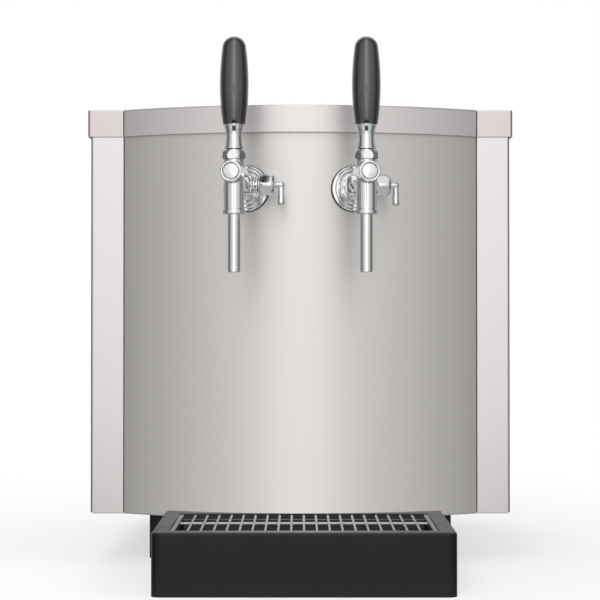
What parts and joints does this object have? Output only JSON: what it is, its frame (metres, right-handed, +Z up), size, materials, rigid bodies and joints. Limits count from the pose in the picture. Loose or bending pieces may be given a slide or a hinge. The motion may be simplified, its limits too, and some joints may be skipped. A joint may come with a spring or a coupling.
{
  "type": "draft beer dispenser",
  "caption": "Countertop draft beer cooler with bowed brushed steel front, chrome taps with black tilting handles, lift-off lid and a black drip tray with wire grille.",
  "frame": {"origin": "centre of the footprint on the counter top", "axes": "+Z up, -Y towards the user (taps and drip tray), +X to the user's right"},
  "size_m": [0.462, 0.65, 0.5542],
  "materials": {
    "front_steel": "horizontally brushed",
    "column_steel": "fine satin",
    "rear_steel": "satin",
    "chrome": "polished",
    "stainless": "drawn tube",
    "handle_black": "gloss",
    "tray_black": "fine grain, matte",
    "grille_wire": "bright wire",
    "plinth_black": "matte black",
    "rubber": "matte",
    "foam": "white foam",
    "liner": "smooth white",
    "copper": "bare tube",
    "machine_black": "satin black",
    "fin_metal": "mill finish",
    "plastic_dark": "matte",
    "plastic_light": "matte",
    "rocker_red": "gloss"
  },
  "bodies": {
    "cabinet": {"plinth": "plinth_black", "rubber_feet": "rubber", "base_pan": "rear_steel", "front_panel": "front_steel", "left_side_cover": "column_steel", "right_side_cover": "column_steel", "rear_panel": "rear_steel", "cover_screws": "stainless", "gaskets": "rubber", "flanges": "chrome", "front_plugs": "chrome", "bonnet_nuts": "chrome", "compensator_bonnets": "chrome", "shank_nuts": "stainless", "cold_bath": "liner", "tank_rails": "rear_steel", "evaporator_coil": "copper", "agitator_motor": "plastic_dark", "compressor": "machine_black", "compressor_grommets": "rubber", "discharge_line": "copper", "condenser": "fin_metal", "fan_shroud": "plastic_dark", "fan_motor": "machine_black", "thermostat": "plastic_light", "switch_frame": "plastic_dark", "power_inlet": "plastic_dark", "left_tap_body": "chrome", "left_spout": "chrome", "left_shank": "stainless", "left_product_line": "stainless", "left_product_inlet": "stainless", "right_tap_body": "chrome", "right_spout": "chrome", "right_shank": "stainless", "right_product_line": "stainless", "right_product_inlet": "stainless"},
    "lid": {"lid_top": "front_steel", "lid_front_band": "front_steel", "left_lid_rail": "column_steel", "right_lid_rail": "column_steel", "lid_insulation": "foam"},
    "drip_tray": {"drip_tray": "tray_black"},
    "tray_grille": {"tray_grille": "grille_wire"},
    "agitator": {"agitator_rotor": "stainless"},
    "fan": {"fan_blade": "plastic_light"},
    "thermostat_knob": {"thermostat_knob": "plastic_dark"},
    "rocker_switch": {"rocker_switch": "rocker_red"},
    "left_handle": {"left_lever_stem": "stainless", "left_ferrule": "chrome", "left_handle": "handle_black"},
    "left_valve": {"left_valve_piston": "plastic_light"},
    "left_compensator": {"left_compensator_lever": "chrome"},
    "right_handle": {"right_lever_stem": "stainless", "right_ferrule": "chrome", "right_handle": "handle_black"},
    "right_valve": {"right_valve_piston": "plastic_light"},
    "right_compensator": {"right_compensator_lever": "chrome"}
  },
  "joints": [
    {"name": "lid_lift", "type": "slide", "parent": "cabinet", "child": "lid", "axis": [0, 0, 1], "range_m": [0, 0.15]},
    {"name": "tray_pull", "type": "slide", "parent": "cabinet", "child": "drip_tray", "axis": [0, -1, 0], "range_m": [0, 0.12]},
    {"name": "grille_lift", "type": "slide", "parent": "drip_tray", "child": "tray_grille", "axis": [0, 0, 1], "range_m": [0, 0.12]},
    {"name": "left_handle_tilt", "type": "hinge", "parent": "cabinet", "child": "left_handle", "pos_m": [-0.06714, -0.23644, 0.4322], "axis": [0.9908, -0.1352, 0], "range_deg": [-14, 28]},
    {"name": "left_valve_slide", "type": "slide", "parent": "cabinet", "child": "left_valve", "axis": [0.1352, 0.9908, 0], "range_m": [-0.0042, 0.0083]},
    {"name": "left_compensator_turn", "type": "hinge", "parent": "cabinet", "child": "left_compensator", "pos_m": [-0.06011, -0.18492, 0.407], "axis": [0.9908, -0.1352, 0], "range_deg": [-60, 60]},
    {"name": "right_handle_tilt", "type": "hinge", "parent": "cabinet", "child": "right_handle", "pos_m": [0.06714, -0.23644, 0.4322], "axis": [0.9908, 0.1352, 0], "range_deg": [-14, 28]},
    {"name": "right_valve_slide", "type": "slide", "parent": "cabinet", "child": "right_valve", "axis": [-0.1352, 0.9908, 0], "range_m": [-0.0042, 0.0083]},
    {"name": "right_compensator_turn", "type": "hinge", "parent": "cabinet", "child": "right_compensator", "pos_m": [0.06011, -0.18492, 0.407], "axis": [0.9908, 0.1352, 0], "range_deg": [-60, 60]},
    {"name": "agitator_spin", "type": "hinge", "parent": "cabinet", "child": "agitator", "pos_m": [0, 0.0738, 0.425], "axis": [0, 0, 1], "continuous": true},
    {"name": "fan_spin", "type": "hinge", "parent": "cabinet", "child": "fan", "pos_m": [0.105, 0.2391, 0.115], "axis": [0, 1, 0], "continuous": true},
    {"name": "thermostat_turn", "type": "hinge", "parent": "cabinet", "child": "thermostat_knob", "pos_m": [-0.15, 0.3, 0.155], "axis": [0, 1, 0], "range_deg": [0, 270]},
    {"name": "rocker_tilt", "type": "hinge", "parent": "cabinet", "child": "rocker_switch", "pos_m": [-0.15, 0.296, 0.112], "axis": [1, 0, 0], "range_deg": [-20, 0]}
  ],
  "couplings": [
    {"joint": "left_valve_slide", "follows": "left_handle_tilt", "m_per_rad": 0.0167},
    {"joint": "right_valve_slide", "follows": "right_handle_tilt", "m_per_rad": 0.0167}
  ]
}
